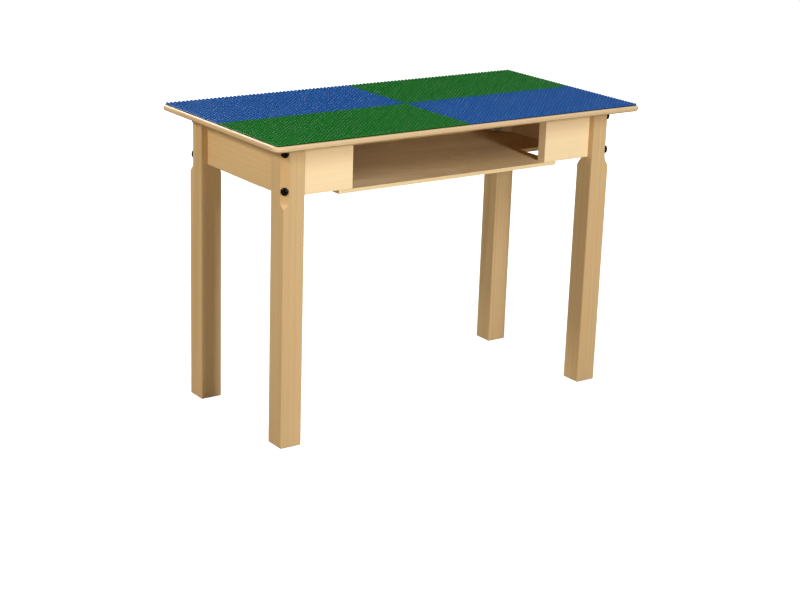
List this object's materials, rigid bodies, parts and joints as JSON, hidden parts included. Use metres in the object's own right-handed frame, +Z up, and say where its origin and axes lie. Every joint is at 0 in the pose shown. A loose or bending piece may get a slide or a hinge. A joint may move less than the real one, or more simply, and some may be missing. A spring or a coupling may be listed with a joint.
{
  "type": "kids play table with storage shelf",
  "caption": "Child's wooden play table with a studded plastic top in two colours, square bolted legs and an open storage shelf under the front edge.",
  "frame": {"origin": "middle of the table's footprint, on the floor", "axes": "+X to the right along the table's length, +Y from the storage opening to the back, +Z up"},
  "size_m": [0.778, 0.394, 0.5394],
  "materials": {
    "top_ply": "clear lacquered birch plywood, edge rounded and sanded",
    "plate_blue": "moulded glossy blue plastic",
    "plate_green": "moulded glossy green plastic",
    "leg_wood": "clear lacquered solid maple",
    "panel_wood": "clear lacquered pale birch",
    "apron_wood": "clear lacquered solid maple",
    "shelf_ply": "clear lacquered birch plywood",
    "block_wood": "planed hardwood, clear lacquer",
    "black_steel": "black oxide steel, lightly oiled",
    "zinc_steel": "zinc plated steel"
  },
  "bodies": {
    "root": {"tabletop": "top_ply", "stud_plate_back_left": "plate_blue", "stud_plate_back_right": "plate_green", "stud_plate_front_left": "plate_green", "stud_plate_front_right": "plate_blue", "leg_front_left": "leg_wood", "leg_front_right": "leg_wood", "leg_back_left": "leg_wood", "leg_back_right": "leg_wood", "apron_back": "panel_wood", "apron_left_end": "apron_wood", "apron_right_end": "apron_wood", "front_panel_left": "panel_wood", "front_panel_right": "panel_wood", "storage_shelf": "shelf_ply", "corner_block_front_left": "block_wood", "corner_block_front_right": "block_wood", "corner_block_back_left": "block_wood", "corner_block_back_right": "block_wood", "leg_bolts": "black_steel", "bolt_washers": "zinc_steel", "bolt_nuts": "zinc_steel", "corner_block_screws": "zinc_steel", "shelf_screws": "zinc_steel", "tabletop_screws": "zinc_steel"}
  },
  "joints": []
}
